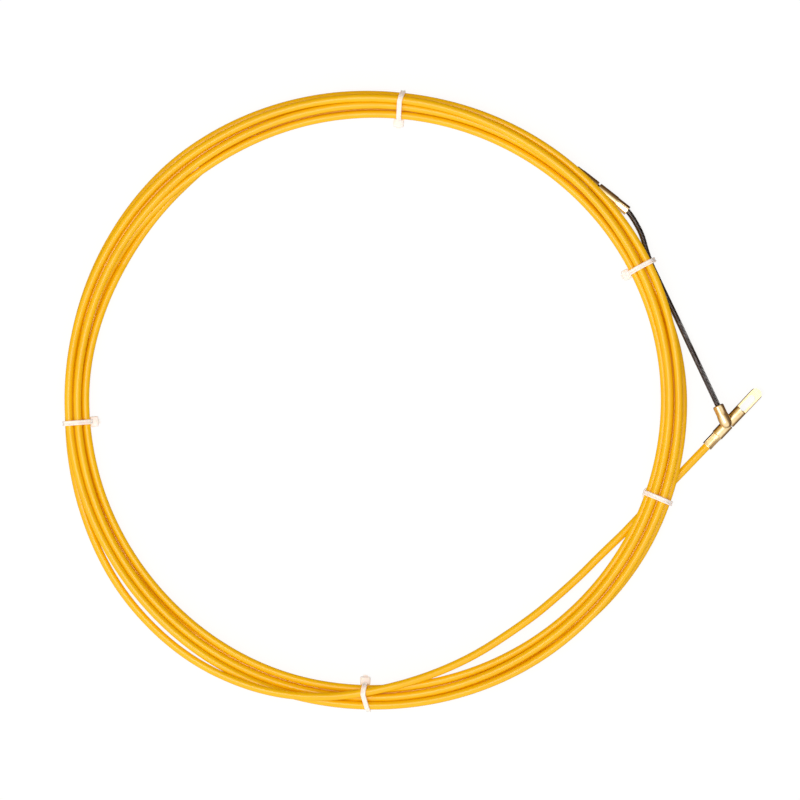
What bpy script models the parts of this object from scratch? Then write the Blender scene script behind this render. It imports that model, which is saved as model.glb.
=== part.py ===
"""Tied coil of plastic fish tape rod with a screwed eye on one end and a spring leader on the other.

The coil lies flat on z = 0. Angles run clockwise from +X as seen from above, in degrees, about the
middle of the coil, which is also the way that the turns run from the eye to the leader.
"""
import math

import bmesh
import bpy
from mathutils import Matrix, Vector

MM = 0.001
GAP = 0.3 * MM

# The rod and its coil. The coil's middle is off the origin, which is the middle of the whole part.
COIL_CENTRE = Vector((-15.76, -0.11, 0)) * MM
ROD_DIAMETER = 3.5 * MM
ROD_RADIUS = ROD_DIAMETER / 2
STRAP_THICKNESS = 1.0 * MM
COIL_BASE = STRAP_THICKNESS + GAP
COIL_HEIGHT = 6.9 * MM
COIL_CORNER = 0.9 * MM
COIL_STEP_DEGREES = 3
EDGE_WIDTH_DEGREES = 0.05
EDGE_CLEARANCE_DEGREES = 0.6
LIFT_OVER_TAIL = ROD_DIAMETER + GAP
LIFT_RISES = (-8, 4)
LIFT_FALLS = (33, 45)

# Radii of the coil's inner and outer edges, as (angle, millimetres).
INNER_EDGE = [(0, 126.6), (40, 126.2), (75, 125.9), (120, 127.1), (150, 127.1), (180, 127.8), (212, 126.1),
              (243, 126.8), (275, 125.9), (330, 126.7), (360, 126.6)]
OUTER_EDGE = [(0, 138.3), (20, 138.4), (50, 136.9), (90, 137.1), (120, 137.9), (151, 137.9)]
OUTER_EDGE_WITH_TAIL = [(151, 141.9), (160, 140.8), (170, 139.5), (185, 138.7), (228, 140.6), (255, 139.2),
                        (280, 137.5), (335, 137.3), (360, 138.3)]
TAIL_JOINS_AT = 151.0

# The recess under the coil's outermost turn, which the leader's sleeves and spring lie in.
RECESS_FROM, RECESS_TO = 307.5, 347.5
RECESS_EDGE = [(307, 132.4), (325, 132.4), (333, 134.5), (340, 134.5), (348, 136.9)]
RECESS_CEILING = 5.6 * MM
RECESS_COIL_RISE = 0.4 * MM
LEAD_OUT_GAP_DEGREES = 0.2

# The tail, from the eye under the coil, round inside it, back over it and along its outer side.
TAIL_ROUTE = [(7.78, 148.57, 2.7), (14.1, 138.3, 3.05), (21.5, 129.8, 3.05), (30, 123.6, 3.05),
              (35, 121.0, 3.05), (42, 119.3, 3.05), (50, 118.4, 3.2), (60, 119.0, 5.6), (68, 120.9, 8.6),
              (76, 123.1, 10.3), (84, 126.1, 10.5), (92, 129.5, 10.5), (100, 133.4, 10.5), (108, 136.8, 10.5),
              (116, 139.3, 10.2), (126, 140.7, 7.4), (135, 141.2, 4.4), (143, 140.95, 3.2), (150.8, 140.15, 3.05)]

# The eye fitting: positions along its axis from the end that the rod goes into.
EYE_ENTRY = Vector((147.2, -20.1, 2.7)) * MM
EYE_HEADING = 46.7
EYE_RADIUS = 2.7 * MM
EYE_CRIMP_RADIUS = 2.45 * MM
EYE_CRIMP_LENGTH = 6.5 * MM
EYE_SOCKET_LENGTH = 13.8 * MM
EYE_BODY_END = 22.0 * MM
EYE_LENGTH = 34.3 * MM
TONGUE_THICKNESS = 2.4 * MM
SLOT_WIDTH = 3.1 * MM
TONGUE_OVERLAP = 1.5 * MM
TONGUE_INSET = 0.02 * MM
SLOT_START_GAP = 0.2 * MM
SLOT_END = 30.7 * MM
EYE_CHAMFER = 0.4 * MM
SLEEVE_CHAMFER = 0.3 * MM
ROD_INSERTION = 7.2 * MM
ROD_FIT = 0.2 * MM

# The threaded studs that join each pair of fittings.
STUD_RADIUS = 1.5 * MM
STUD_CLEARANCE = 0.15 * MM
STUD_CHAMFER = 0.25 * MM
STUD_ENGAGEMENT = 4.2 * MM
BORE_DEPTH = STUD_ENGAGEMENT + GAP

# The leader: two sleeves in line, then the spring with its core wire, then the bullet tip.
LEADER_START_ANGLE = 310.8
LEADER_START_RADIUS = 135.7 * MM
LEADER_OUTWARD_TURN = 2.8
LEADER_AXIS_HEIGHT = 2.7 * MM
SLEEVE_RADIUS = 2.4 * MM
SLEEVE_CRIMP_RADIUS = 2.3 * MM
SOCKET_CRIMP_LENGTH = 3.0 * MM
SOCKET_ROD_DEPTH = 6.2 * MM
LEADER_SOCKET_LENGTH = 12.0 * MM
SLEEVE_SPACE = 0.8 * MM
LEADER_PLUG_LENGTH = 16.7 * MM
SPRING_RADIUS = 1.3 * MM
SPRING_BORE = 0.8 * MM
SPRING_FIT = 0.15 * MM
SPRING_NOSE_WALL = 0.1 * MM
SPRING_STEP = 3.2 * MM
CORE_RADIUS = 0.45 * MM
PLUG_CRIMP_LENGTH = 6.5 * MM
SPRING_INSERTION = 5.0 * MM
LEADER_BEFORE_RECESS = (309.3, 135.1)
LEADER_UNDER_COIL = [(325, 140.2, 2.7), (328, 139.4, 2.65), (331, 137.6, 2.65), (333.8, 136.7, 2.65)]
FLEX_POINT = (336.0, 136.68, 2.65)
LEADER_FREE = [(341.7, 137.7, 2.65), (345.5, 139.2, 2.75), (349.6, 141.4, 4.0), (354.2, 144.9, 6.3)]
BULLET_MOUTH = Vector((151.95, -2.0, 8.4)) * MM
BULLET_HEADING = -65.0
BULLET_CRIMP_RADIUS = 2.375 * MM
BULLET_CRIMP_LENGTH = 4.5 * MM
BULLET_RADIUS = 2.7 * MM
BULLET_LENGTH = 10.9 * MM
BULLET_STRAIGHT = 7.9 * MM
BULLET_NOSE_RADIUS = 0.6 * MM
BULLET_NOSE_POWER = 2.2
BULLET_BORE_DEPTH = 4.4 * MM

# The ties: the angle of each and where its head sits, as (radius, height) of the head's middle.
STRAP_WIDTH = 2.1 * MM
TIE_ANGLES = {"tie_lower_right": 19.0, "tie_bottom": 91.8, "tie_left": 175.85, "tie_top": 274.8,
              "tie_upper_right": 333.1}
HIDDEN_HEAD = ("tie_lower_right", 127.5 * MM, 2.4 * MM)
HEAD_WIDTH = 4.4 * MM
HEAD_DEPTH = 3.5 * MM
HEAD_HEIGHT = 4.0 * MM
HEAD_OVERLAP = 0.1 * MM
STUB_LENGTH = 0.8 * MM
TIE_DIRECTIONS = 28

ROUND_SIDES = 24
NOSE_STEPS = 7
TAIL_STEP = 8.0 * MM
LEAD_OUT_STEP = 2.6 * MM


def clear_scene():
    for old in list(bpy.data.objects):
        bpy.data.objects.remove(old, do_unlink=True)


def make_material(name, colour, roughness, metallic=0.0):
    material = bpy.data.materials.new(name)
    material.use_nodes = True
    shader = material.node_tree.nodes["Principled BSDF"]
    shader.inputs["Base Color"].default_value = (*colour, 1.0)
    shader.inputs["Roughness"].default_value = roughness
    shader.inputs["Metallic"].default_value = metallic
    return material


def through(stops, x):
    """Smooth value at x through (x, value) stops, flat beyond the ends."""
    if x <= stops[0][0]:
        return stops[0][1]
    if x >= stops[-1][0]:
        return stops[-1][1]
    slopes = []
    for i in range(len(stops)):
        before, after = stops[max(i - 1, 0)], stops[min(i + 1, len(stops) - 1)]
        slopes.append((after[1] - before[1]) / (after[0] - before[0]))
    i = next(i for i in range(len(stops) - 1) if x <= stops[i + 1][0])
    span = stops[i + 1][0] - stops[i][0]
    u = (x - stops[i][0]) / span
    return ((2 * u**3 - 3 * u**2 + 1) * stops[i][1] + (u**3 - 2 * u**2 + u) * span * slopes[i]
            + (3 * u**2 - 2 * u**3) * stops[i + 1][1] + (u**3 - u**2) * span * slopes[i + 1])


def eased(x, low, high):
    u = min(max((x - low) / (high - low), 0.0), 1.0)
    return u * u * (3 - 2 * u)


def polar(angle, radius, height):
    turn = math.radians(angle)
    return COIL_CENTRE + Vector((radius * math.cos(turn), -radius * math.sin(turn), height))


def from_route(stop):
    angle, radius, height = stop
    return polar(angle, radius * MM, height * MM)


def heading(degrees):
    turn = math.radians(degrees)
    return Vector((math.cos(turn), math.sin(turn), 0))


def placed_along(origin, direction, up=Vector((0, 0, 1))):
    """Matrix whose local +Z runs along direction and whose local +X is level."""
    axis = direction.normalized()
    side = up.cross(axis).normalized()
    rows = Matrix((side, axis.cross(side), axis)).transposed()
    return Matrix.Translation(origin) @ rows.to_4x4()


def add_object(name, mesh, material, matrix=None):
    mesh.materials.append(material)
    mesh.shade_smooth()
    mesh.set_sharp_from_angle(angle=math.radians(35))
    thing = bpy.data.objects.new(name, mesh)
    bpy.context.collection.objects.link(thing)
    if matrix is not None:
        thing.matrix_world = matrix
    return thing


def mesh_from(bm, name):
    bmesh.ops.remove_doubles(bm, verts=bm.verts, dist=1e-6)
    bmesh.ops.recalc_face_normals(bm, faces=bm.faces)
    mesh = bpy.data.meshes.new(name)
    bm.to_mesh(mesh)
    bm.free()
    return mesh


def turned(name, profile, material, matrix, sides=ROUND_SIDES):
    """Turn a closed (radius, distance along the axis) profile about local Z."""
    bm = bmesh.new()
    verts = [bm.verts.new((radius, 0, along)) for radius, along in profile]
    edges = [bm.edges.new((a, b)) for a, b in zip(verts, verts[1:])]
    if profile[0][0] > 0:
        edges.append(bm.edges.new((verts[-1], verts[0])))
    bmesh.ops.spin(bm, geom=verts + edges, axis=(0, 0, 1), cent=(0, 0, 0), angle=math.tau, steps=sides,
                   use_merge=True)
    return add_object(name, mesh_from(bm, name), material, matrix)


def smooth_points(route, spacing):
    """Points about spacing apart on one smooth curve through the route's own points."""
    reach = [0.0]
    for a, b in zip(route, route[1:]):
        reach.append(reach[-1] + (b - a).length)
    count = max(2, round(reach[-1] / spacing))
    tracks = [[(s, p[axis]) for s, p in zip(reach, route)] for axis in range(3)]
    return [Vector([through(track, reach[-1] * i / count) for track in tracks]) for i in range(count + 1)]


def rod_tube(name, points, radius, material):
    """A round solid along a poly line, as a curve with filled caps."""
    curve = bpy.data.curves.new(name, "CURVE")
    curve.dimensions = "3D"
    curve.bevel_depth = radius
    curve.bevel_resolution = 2
    curve.use_fill_caps = True
    spline = curve.splines.new("POLY")
    spline.points.add(len(points) - 1)
    for spot, point in zip(spline.points, points):
        spot.co = (*point, 1.0)
    spline.use_smooth = True
    curve.materials.append(material)
    tube = bpy.data.objects.new(name, curve)
    bpy.context.collection.objects.link(tube)
    return tube


def pipe(name, points, outer, inner, material, sides=12):
    """A hollow round sweep; outer holds one radius for each point."""
    bm = bmesh.new()
    rings = []
    for i, point in enumerate(points):
        along = (points[min(i + 1, len(points) - 1)] - points[max(i - 1, 0)]).normalized()
        frame = placed_along(point, along)
        for radius in (outer[i], inner):
            rings.append([bm.verts.new(frame @ Vector((radius * math.cos(math.tau * k / sides),
                                                       radius * math.sin(math.tau * k / sides), 0)))
                          for k in range(sides)])
    for a, b in joined_rings(len(points)):
        for k in range(sides):
            after = (k + 1) % sides
            bm.faces.new((rings[a][k], rings[a][after], rings[b][after], rings[b][k]))
    return add_object(name, mesh_from(bm, name), material)


def joined_rings(count):
    """Which rings of a hollow sweep a skin joins: outer wall, inner wall, then both ends."""
    for i in range(count - 1):
        yield 2 * i, 2 * i + 2
        yield 2 * i + 1, 2 * i + 3
    yield 0, 1
    yield 2 * count - 2, 2 * count - 1


def coil_section(angle):
    """The coil's outline as (radius, height) in metres, round from its inner lower corner."""
    lap = angle % 360
    inner = through(INNER_EDGE, lap) * MM
    edge_stops = OUTER_EDGE if lap < TAIL_JOINS_AT else OUTER_EDGE_WITH_TAIL
    outer = through(edge_stops, lap) * MM
    in_recess = RECESS_FROM < lap < RECESS_TO
    lower = through(RECESS_EDGE, lap) * MM if in_recess else outer
    signed = lap - 360 if lap > 180 else lap
    lift = LIFT_OVER_TAIL * (eased(signed, *LIFT_RISES) - eased(signed, *LIFT_FALLS))
    bottom = COIL_BASE + lift
    top = bottom + COIL_HEIGHT + (RECESS_COIL_RISE if in_recess else 0)
    ceiling = max(RECESS_CEILING, bottom + COIL_HEIGHT / 2)
    corner = COIL_CORNER
    return [(inner + corner, bottom), (lower - corner, bottom), (lower, bottom + corner),
            (lower, ceiling - GAP / 2), (outer, ceiling + GAP / 2), (outer, top - corner),
            (outer - corner, top), (inner + corner, top), (inner, top - corner), (inner, bottom + corner)]


def make_coil(material):
    steps = [TAIL_JOINS_AT, RECESS_FROM, RECESS_TO]
    angles = [a for a in range(0, 360, COIL_STEP_DEGREES)
              if all(abs(a - step) > EDGE_CLEARANCE_DEGREES for step in steps)]
    angles = sorted(angles + [step + side * EDGE_WIDTH_DEGREES for step in steps for side in (-1, 1)])
    bm = bmesh.new()
    rings = [[bm.verts.new(polar(angle, *spot)) for spot in coil_section(angle)] for angle in angles]
    for ring, following in zip(rings, rings[1:] + rings[:1]):
        for k in range(len(ring)):
            after = (k + 1) % len(ring)
            bm.faces.new((ring[k], ring[after], following[after], following[k]))
    return add_object("rod_coil", mesh_from(bm, "rod_coil"), material)


def wrap(circles, clearance):
    """Outline that a strap pulled tight round (radius, height, size) circles takes, clearance off them."""
    outline = []
    for k in range(TIE_DIRECTIONS):
        turn = math.tau * (k + 0.5) / TIE_DIRECTIONS
        out, up = math.cos(turn), math.sin(turn)
        far = max(circles, key=lambda c: c[0] * out + c[1] * up + c[2])
        reach = (far[2] + clearance) / math.cos(math.pi / TIE_DIRECTIONS)
        outline.append((far[0] + reach * out, far[1] + reach * up))
    return outline


def crossing(route_points, angle):
    """Where a route passes the radial plane at angle, as (radius, height)."""
    best = None
    for a, b in zip(route_points, route_points[1:]):
        for i in range(20):
            spot = a.lerp(b, i / 20) - COIL_CENTRE
            offset = abs((math.degrees(math.atan2(-spot.y, spot.x)) - angle + 180) % 360 - 180)
            if best is None or offset < best[0]:
                best = (offset, math.hypot(spot.x, spot.y), spot.z)
    return best[1:]


def box_mesh(name, lows, highs):
    bm = bmesh.new()
    bmesh.ops.create_cube(bm, size=1.0)
    size = [high - low for low, high in zip(lows, highs)]
    middle = [(high + low) / 2 for low, high in zip(lows, highs)]
    bmesh.ops.scale(bm, vec=size, verts=bm.verts)
    bmesh.ops.translate(bm, vec=middle, verts=bm.verts)
    return mesh_from(bm, name)


def helper(name, mesh, matrix):
    """A guide solid that a Boolean reads and the part leaves out."""
    guide = bpy.data.objects.new(name, mesh)
    bpy.context.collection.objects.link(guide)
    guide.matrix_world = matrix
    guide.hide_render = True
    guide.display_type = "WIRE"
    return guide


def combine(thing, other, operation):
    modifier = thing.modifiers.new(operation.lower(), "BOOLEAN")
    modifier.operation = operation
    modifier.solver = "EXACT"
    modifier.object = other
    return modifier


def make_tie(name, angle, extra_circles, material):
    """One moulding: the strap's closed loop, the head on it and the cut end that stands out of the head."""
    frame = Matrix.Translation(COIL_CENTRE) @ Matrix.Rotation(-math.radians(angle), 4, "Z")
    circles = [(radius, height, 0.0) for radius, height in coil_section(angle)] + extra_circles
    inner = wrap(circles, GAP)
    outer = wrap(circles, GAP + STRAP_THICKNESS)
    half = STRAP_WIDTH / 2
    bm = bmesh.new()
    loops = [[bm.verts.new((radius, side, height)) for radius, height in outline]
             for outline, side in ((inner, -half), (outer, -half), (outer, half), (inner, half))]
    for loop, following in zip(loops, loops[1:] + loops[:1]):
        for k in range(TIE_DIRECTIONS):
            after = (k + 1) % TIE_DIRECTIONS
            bm.faces.new((loop[k], loop[after], following[after], following[k]))
    tie = add_object(name, mesh_from(bm, name), material, frame)
    head_middle = ((min(radius for radius, _ in inner) - HEAD_DEPTH / 2,
                    (COIL_BASE + COIL_HEIGHT) / 2) if name != HIDDEN_HEAD[0] else HIDDEN_HEAD[1:])
    head_lows = (head_middle[0] - HEAD_DEPTH / 2, -HEAD_WIDTH / 2, head_middle[1] - HEAD_HEIGHT / 2)
    head_highs = (head_middle[0] + HEAD_DEPTH / 2 - HEAD_OVERLAP, HEAD_WIDTH / 2,
                  head_middle[1] + HEAD_HEIGHT / 2)
    combine(tie, helper(name + "_head", box_mesh(name + "_head", head_lows, head_highs), frame), "UNION")
    if name != HIDDEN_HEAD[0]:
        stub_lows = (head_lows[0] - STUB_LENGTH, -half, head_middle[1] - STRAP_THICKNESS / 2)
        stub_highs = (head_lows[0] + STUB_LENGTH, half, head_middle[1] + STRAP_THICKNESS / 2)
        combine(tie, helper(name + "_stub", box_mesh(name + "_stub", stub_lows, stub_highs), frame), "UNION")
    return tie


def sleeve_profile(crimp_radius, radius, crimp_length, length, rod_bore, rod_depth):
    """Half section of a sleeve: crimped over its rod at one end, bored for the stud at the other."""
    chamfer = SLEEVE_CHAMFER
    stud_bore = STUD_RADIUS + STUD_CLEARANCE
    return [(rod_bore, 0), (crimp_radius - chamfer, 0), (crimp_radius, chamfer), (crimp_radius, crimp_length),
            (radius, crimp_length + 2 * chamfer), (radius, length - chamfer), (radius - chamfer, length),
            (stud_bore, length), (stud_bore, length - BORE_DEPTH), (0, length - BORE_DEPTH), (0, rod_depth),
            (rod_bore, rod_depth)]


def two_ended(name, profile, material, matrix):
    """Turn a half section whose middle wall reaches the axis: it is closed there, not along the axis."""
    wall = next(i for i, (radius, _) in enumerate(profile) if radius == 0)
    ordered = profile[wall + 1:] + profile[:wall + 1]
    return turned(name, ordered, material, matrix)


def make_stud(name, middle, material, frame):
    chamfer = STUD_CHAMFER
    low, high = middle - STUD_ENGAGEMENT, middle + STUD_ENGAGEMENT
    profile = [(0, low), (STUD_RADIUS - chamfer, low), (STUD_RADIUS, low + chamfer),
               (STUD_RADIUS, high - chamfer), (STUD_RADIUS - chamfer, high), (0, high)]
    return turned(name, profile, material, frame)


def make_eye(brass, steel):
    entry = COIL_CENTRE + EYE_ENTRY
    frame = placed_along(entry, heading(EYE_HEADING))
    two_ended("eye_socket", sleeve_profile(EYE_CRIMP_RADIUS, EYE_RADIUS, EYE_CRIMP_LENGTH, EYE_SOCKET_LENGTH,
                                           ROD_RADIUS + ROD_FIT, ROD_INSERTION + GAP), brass, frame)
    make_stud("eye_stud", EYE_SOCKET_LENGTH, steel, frame)
    start, chamfer = EYE_SOCKET_LENGTH + GAP, EYE_CHAMFER
    bore = STUD_RADIUS + STUD_CLEARANCE
    body = [(bore, start), (EYE_RADIUS - chamfer, start), (EYE_RADIUS, start + chamfer),
            (EYE_RADIUS, EYE_BODY_END - chamfer), (EYE_RADIUS - chamfer, EYE_BODY_END), (0, EYE_BODY_END),
            (0, start + BORE_DEPTH), (bore, start + BORE_DEPTH)]
    tip = two_ended("eye_tip", body[5:] + body[:5], brass, frame)
    tongue = rounded_bar("eye_tongue", EYE_RADIUS - TONGUE_INSET, EYE_BODY_END - TONGUE_OVERLAP, EYE_LENGTH,
                         TONGUE_THICKNESS, False)
    combine(tip, helper("eye_tongue", tongue, frame), "UNION")
    slot = rounded_bar("eye_slot", SLOT_WIDTH / 2, EYE_BODY_END + SLOT_START_GAP, SLOT_END, 4 * EYE_RADIUS,
                       True)
    combine(tip, helper("eye_slot", slot, frame), "DIFFERENCE")
    return frame


def rounded_bar(name, half_width, low, high, thickness, both_ends):
    """A flat bar along local Z with a round far end, and a round near end where asked."""
    steps = 10
    outline = []
    for k in range(steps + 1):
        turn = math.pi * k / steps
        outline.append((half_width * math.cos(turn), high - half_width + half_width * math.sin(turn)))
    if both_ends:
        outline += [(-x, low + high - z) for x, z in outline]
    else:
        outline += [(-half_width, low), (half_width, low)]
    bm = bmesh.new()
    verts = [bm.verts.new((x, -thickness / 2, z)) for x, z in outline]
    face = bm.faces.new(verts)
    extruded = bmesh.ops.extrude_face_region(bm, geom=[face])["geom"]
    moved = [item for item in extruded if isinstance(item, bmesh.types.BMVert)]
    bmesh.ops.translate(bm, vec=(0, thickness, 0), verts=moved)
    return mesh_from(bm, name)


def make_leader(brass, steel, spring_steel):
    start = polar(LEADER_START_ANGLE, LEADER_START_RADIUS, LEADER_AXIS_HEIGHT)
    direction = heading(-(LEADER_START_ANGLE + 90) + LEADER_OUTWARD_TURN)
    frame = placed_along(start, direction)
    two_ended("leader_socket", sleeve_profile(SLEEVE_CRIMP_RADIUS, SLEEVE_RADIUS, SOCKET_CRIMP_LENGTH,
                                              LEADER_SOCKET_LENGTH, ROD_RADIUS + ROD_FIT,
                                              SOCKET_ROD_DEPTH + GAP), brass, frame)
    make_stud("leader_stud", LEADER_SOCKET_LENGTH + SLEEVE_SPACE / 2, steel, frame)
    plug_end = LEADER_SOCKET_LENGTH + SLEEVE_SPACE + LEADER_PLUG_LENGTH
    mouth = start + direction * plug_end
    two_ended("leader_plug", sleeve_profile(SLEEVE_CRIMP_RADIUS, SLEEVE_RADIUS, PLUG_CRIMP_LENGTH,
                                            LEADER_PLUG_LENGTH, SPRING_RADIUS + SPRING_FIT,
                                            SPRING_INSERTION + GAP), brass, placed_along(mouth, -direction))

    flex = from_route(FLEX_POINT)
    inside_plug = [mouth - direction * SPRING_INSERTION, mouth - direction * SPRING_INSERTION / 2, mouth]
    rear = smooth_points(inside_plug + [from_route(stop) for stop in LEADER_UNDER_COIL] + [flex], SPRING_STEP)
    hinge_room = SPRING_RADIUS + GAP
    while (rear[-1] - flex).length < hinge_room:
        rear.pop()
    rear_axis = (flex - rear[-1]).normalized()
    rear.append(flex - rear_axis * hinge_room)
    pipe("leader_spring_rear", rear, [SPRING_RADIUS] * len(rear), SPRING_BORE, spring_steel)
    rod_tube("leader_core_rear", rear, CORE_RADIUS, steel)

    bullet_mouth = COIL_CENTRE + BULLET_MOUTH
    bullet_axis = heading(BULLET_HEADING)
    seat = bullet_mouth + bullet_axis * (BULLET_BORE_DEPTH - GAP)
    free = [from_route(stop) for stop in LEADER_FREE]
    front = smooth_points([flex] + free + [bullet_mouth, seat], SPRING_STEP)
    front_axis = (front[1] - front[0]).normalized()
    nose_reach = math.sqrt(SPRING_RADIUS**2 - (SPRING_BORE + SPRING_NOSE_WALL)**2)
    offsets = [nose_reach, nose_reach * 2 / 3, nose_reach / 3]
    rounded = [flex - front_axis * offset for offset in offsets]
    radii = [math.sqrt(SPRING_RADIUS**2 - offset**2) for offset in offsets]
    pipe("leader_spring_front", rounded + front, radii + [SPRING_RADIUS] * len(front), SPRING_BORE, spring_steel)
    rod_tube("leader_core_front", [rounded[0]] + front, CORE_RADIUS, steel)
    make_bullet(bullet_mouth, bullet_axis, brass)

    leaves_at, leaves_radius = LEADER_BEFORE_RECESS
    rod_height = COIL_BASE + ROD_RADIUS
    lead_out = [polar(RECESS_FROM + LEAD_OUT_GAP_DEGREES, leaves_radius * MM, rod_height),
                polar(leaves_at, leaves_radius * MM, (rod_height + LEADER_AXIS_HEIGHT) / 2),
                start, start + direction * SOCKET_ROD_DEPTH]
    return lead_out, rear


def make_bullet(mouth, axis, brass):
    """The leader's tip: a bored part crimped on the spring, then a wider body with a round nose."""
    bore = SPRING_RADIUS + SPRING_FIT
    chamfer = SLEEVE_CHAMFER
    nose = []
    for k in range(1, NOSE_STEPS):
        u = k / NOSE_STEPS
        width = (BULLET_RADIUS - BULLET_NOSE_RADIUS) * math.sqrt(1 - u**BULLET_NOSE_POWER)
        nose.append((BULLET_NOSE_RADIUS + width, BULLET_STRAIGHT + (BULLET_LENGTH - BULLET_STRAIGHT) * u))
    profile = [(0, BULLET_BORE_DEPTH), (bore, BULLET_BORE_DEPTH), (bore, 0), (BULLET_CRIMP_RADIUS - chamfer, 0),
               (BULLET_CRIMP_RADIUS, chamfer), (BULLET_CRIMP_RADIUS, BULLET_CRIMP_LENGTH),
               (BULLET_RADIUS, BULLET_CRIMP_LENGTH + 2 * chamfer), (BULLET_RADIUS, BULLET_STRAIGHT)]
    profile += nose + [(BULLET_NOSE_RADIUS, BULLET_LENGTH), (0, BULLET_LENGTH)]
    return turned("bullet_tip", profile, brass, placed_along(mouth, axis))


def main():
    clear_scene()
    plastic = make_material("rod_plastic", (0.91, 0.47, 0.01), 0.35)
    brass = make_material("brass", (0.78, 0.57, 0.25), 0.25, 1.0)
    steel = make_material("stud_steel", (0.45, 0.45, 0.46), 0.35, 1.0)
    spring_steel = make_material("spring_steel", (0.05, 0.05, 0.055), 0.4, 1.0)
    nylon = make_material("tie_nylon", (0.85, 0.80, 0.76), 0.45)

    make_coil(plastic)
    frame = make_eye(brass, steel)
    lead_out, rear = make_leader(brass, steel, spring_steel)
    rod_tube("rod_lead_out", smooth_points(lead_out, LEAD_OUT_STEP), ROD_RADIUS, plastic)

    inside_eye = frame @ Vector((0, 0, ROD_INSERTION))
    tail = smooth_points([inside_eye, frame @ Vector((0, 0, ROD_INSERTION / 2))]
                         + [from_route(stop) for stop in TAIL_ROUTE], TAIL_STEP)
    rod_tube("rod_tail", tail, ROD_RADIUS, plastic)

    half_strap = math.degrees(STRAP_WIDTH / (INNER_EDGE[0][1] * MM)) / 2
    for name, angle in TIE_ANGLES.items():
        sides = (angle - half_strap, angle + half_strap)
        held = []
        if angle < TAIL_JOINS_AT:
            held += [(*crossing(tail, side), ROD_RADIUS) for side in sides]
        if RECESS_FROM < angle < RECESS_TO:
            held += [(*crossing(rear, side), SPRING_RADIUS) for side in sides]
        make_tie(name, angle, held, nylon)


main()
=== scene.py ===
import math

import bmesh
import bpy
import numpy as np
from mathutils import Matrix, Vector


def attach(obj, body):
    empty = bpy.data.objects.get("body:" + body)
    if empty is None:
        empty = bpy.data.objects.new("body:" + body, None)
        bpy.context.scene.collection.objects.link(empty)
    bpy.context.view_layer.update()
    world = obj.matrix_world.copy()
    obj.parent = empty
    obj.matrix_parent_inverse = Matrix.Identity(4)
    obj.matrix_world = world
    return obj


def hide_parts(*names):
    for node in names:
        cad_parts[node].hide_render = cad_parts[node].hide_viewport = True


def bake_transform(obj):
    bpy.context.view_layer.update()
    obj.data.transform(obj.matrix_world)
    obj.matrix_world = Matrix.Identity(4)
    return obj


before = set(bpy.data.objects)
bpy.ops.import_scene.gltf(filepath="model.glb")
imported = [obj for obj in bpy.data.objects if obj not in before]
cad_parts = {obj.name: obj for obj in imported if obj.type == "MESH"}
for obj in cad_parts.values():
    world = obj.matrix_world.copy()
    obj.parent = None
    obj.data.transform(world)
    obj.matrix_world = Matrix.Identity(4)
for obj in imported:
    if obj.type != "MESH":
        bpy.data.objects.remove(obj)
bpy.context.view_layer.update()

MM = 0.001
COIL_CENTRE = Vector((-15.76, -0.11, 0)) * MM

# ---------------------------------------------------------------- camera, first

VIEW_WIDTH = 355.8 * MM
VIEW_LEVEL = 5 * MM
VIEW_DISTANCE = 5.0
VIEW_CENTRE = (-5.09 * MM, 0.33 * MM)
SENSOR_WIDTH = 36.0
CLIP_RANGE = (0.1, 20.0)


def make_camera():
    data = bpy.data.cameras.new("camera")
    data.sensor_width = SENSOR_WIDTH
    data.lens = SENSOR_WIDTH * VIEW_DISTANCE / VIEW_WIDTH
    data.clip_start, data.clip_end = CLIP_RANGE
    camera = bpy.data.objects.new("camera", data)
    camera.location = (*VIEW_CENTRE, VIEW_LEVEL + VIEW_DISTANCE)
    bpy.context.scene.collection.objects.link(camera)
    bpy.context.scene.camera = camera


make_camera()

# ---------------------------------------------------------------- small tools

MERGE_DISTANCE = 1e-7


def through(stops, x):
    """Smooth value at x through (x, value) stops, flat beyond the ends."""
    if x <= stops[0][0]:
        return stops[0][1]
    if x >= stops[-1][0]:
        return stops[-1][1]
    i = next(i for i in range(len(stops) - 1) if x <= stops[i + 1][0])
    slopes = []
    for k in (i, i + 1):
        before, after = stops[max(k - 1, 0)], stops[min(k + 1, len(stops) - 1)]
        slopes.append((after[1] - before[1]) / (after[0] - before[0]))
    span = stops[i + 1][0] - stops[i][0]
    u = (x - stops[i][0]) / span
    return ((2 * u**3 - 3 * u**2 + 1) * stops[i][1] + (u**3 - 2 * u**2 + u) * span * slopes[0]
            + (3 * u**2 - 2 * u**3) * stops[i + 1][1] + (u**3 - u**2) * span * slopes[1])


def eased(x, low, high):
    """Rises smoothly from 0 at low to 1 at high."""
    u = np.clip((np.asarray(x, float) - low) / (high - low), 0.0, 1.0)
    return u * u * (3 - 2 * u)


def polar(angle, radius, height):
    """The point at an angle in degrees clockwise from +X about the coil's middle."""
    turn = math.radians(angle)
    return COIL_CENTRE + Vector((radius * math.cos(turn), -radius * math.sin(turn), height))


def heading(degrees):
    turn = math.radians(degrees)
    return Vector((math.cos(turn), math.sin(turn), 0))


def placed_along(origin, direction):
    """Matrix whose local +Z runs along direction and whose local +X is level."""
    axis = direction.normalized()
    side = Vector((0, 0, 1)).cross(axis).normalized()
    rows = Matrix((side, axis.cross(side), axis)).transposed()
    return Matrix.Translation(origin) @ rows.to_4x4()


def smooth_points(route, spacing):
    """Points about spacing apart on one smooth curve through the route's own points."""
    reach = [0.0]
    for a, b in zip(route, route[1:]):
        reach.append(reach[-1] + (b - a).length)
    count = max(2, round(reach[-1] / spacing))
    tracks = [[(s, p[axis]) for s, p in zip(reach, route)] for axis in range(3)]
    return [Vector([through(track, reach[-1] * i / count) for track in tracks]) for i in range(count + 1)]


def link(name, mesh, material):
    mesh.materials.clear()
    mesh.materials.append(material)
    thing = bpy.data.objects.new(name, mesh)
    bpy.context.scene.collection.objects.link(thing)
    return thing


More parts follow.
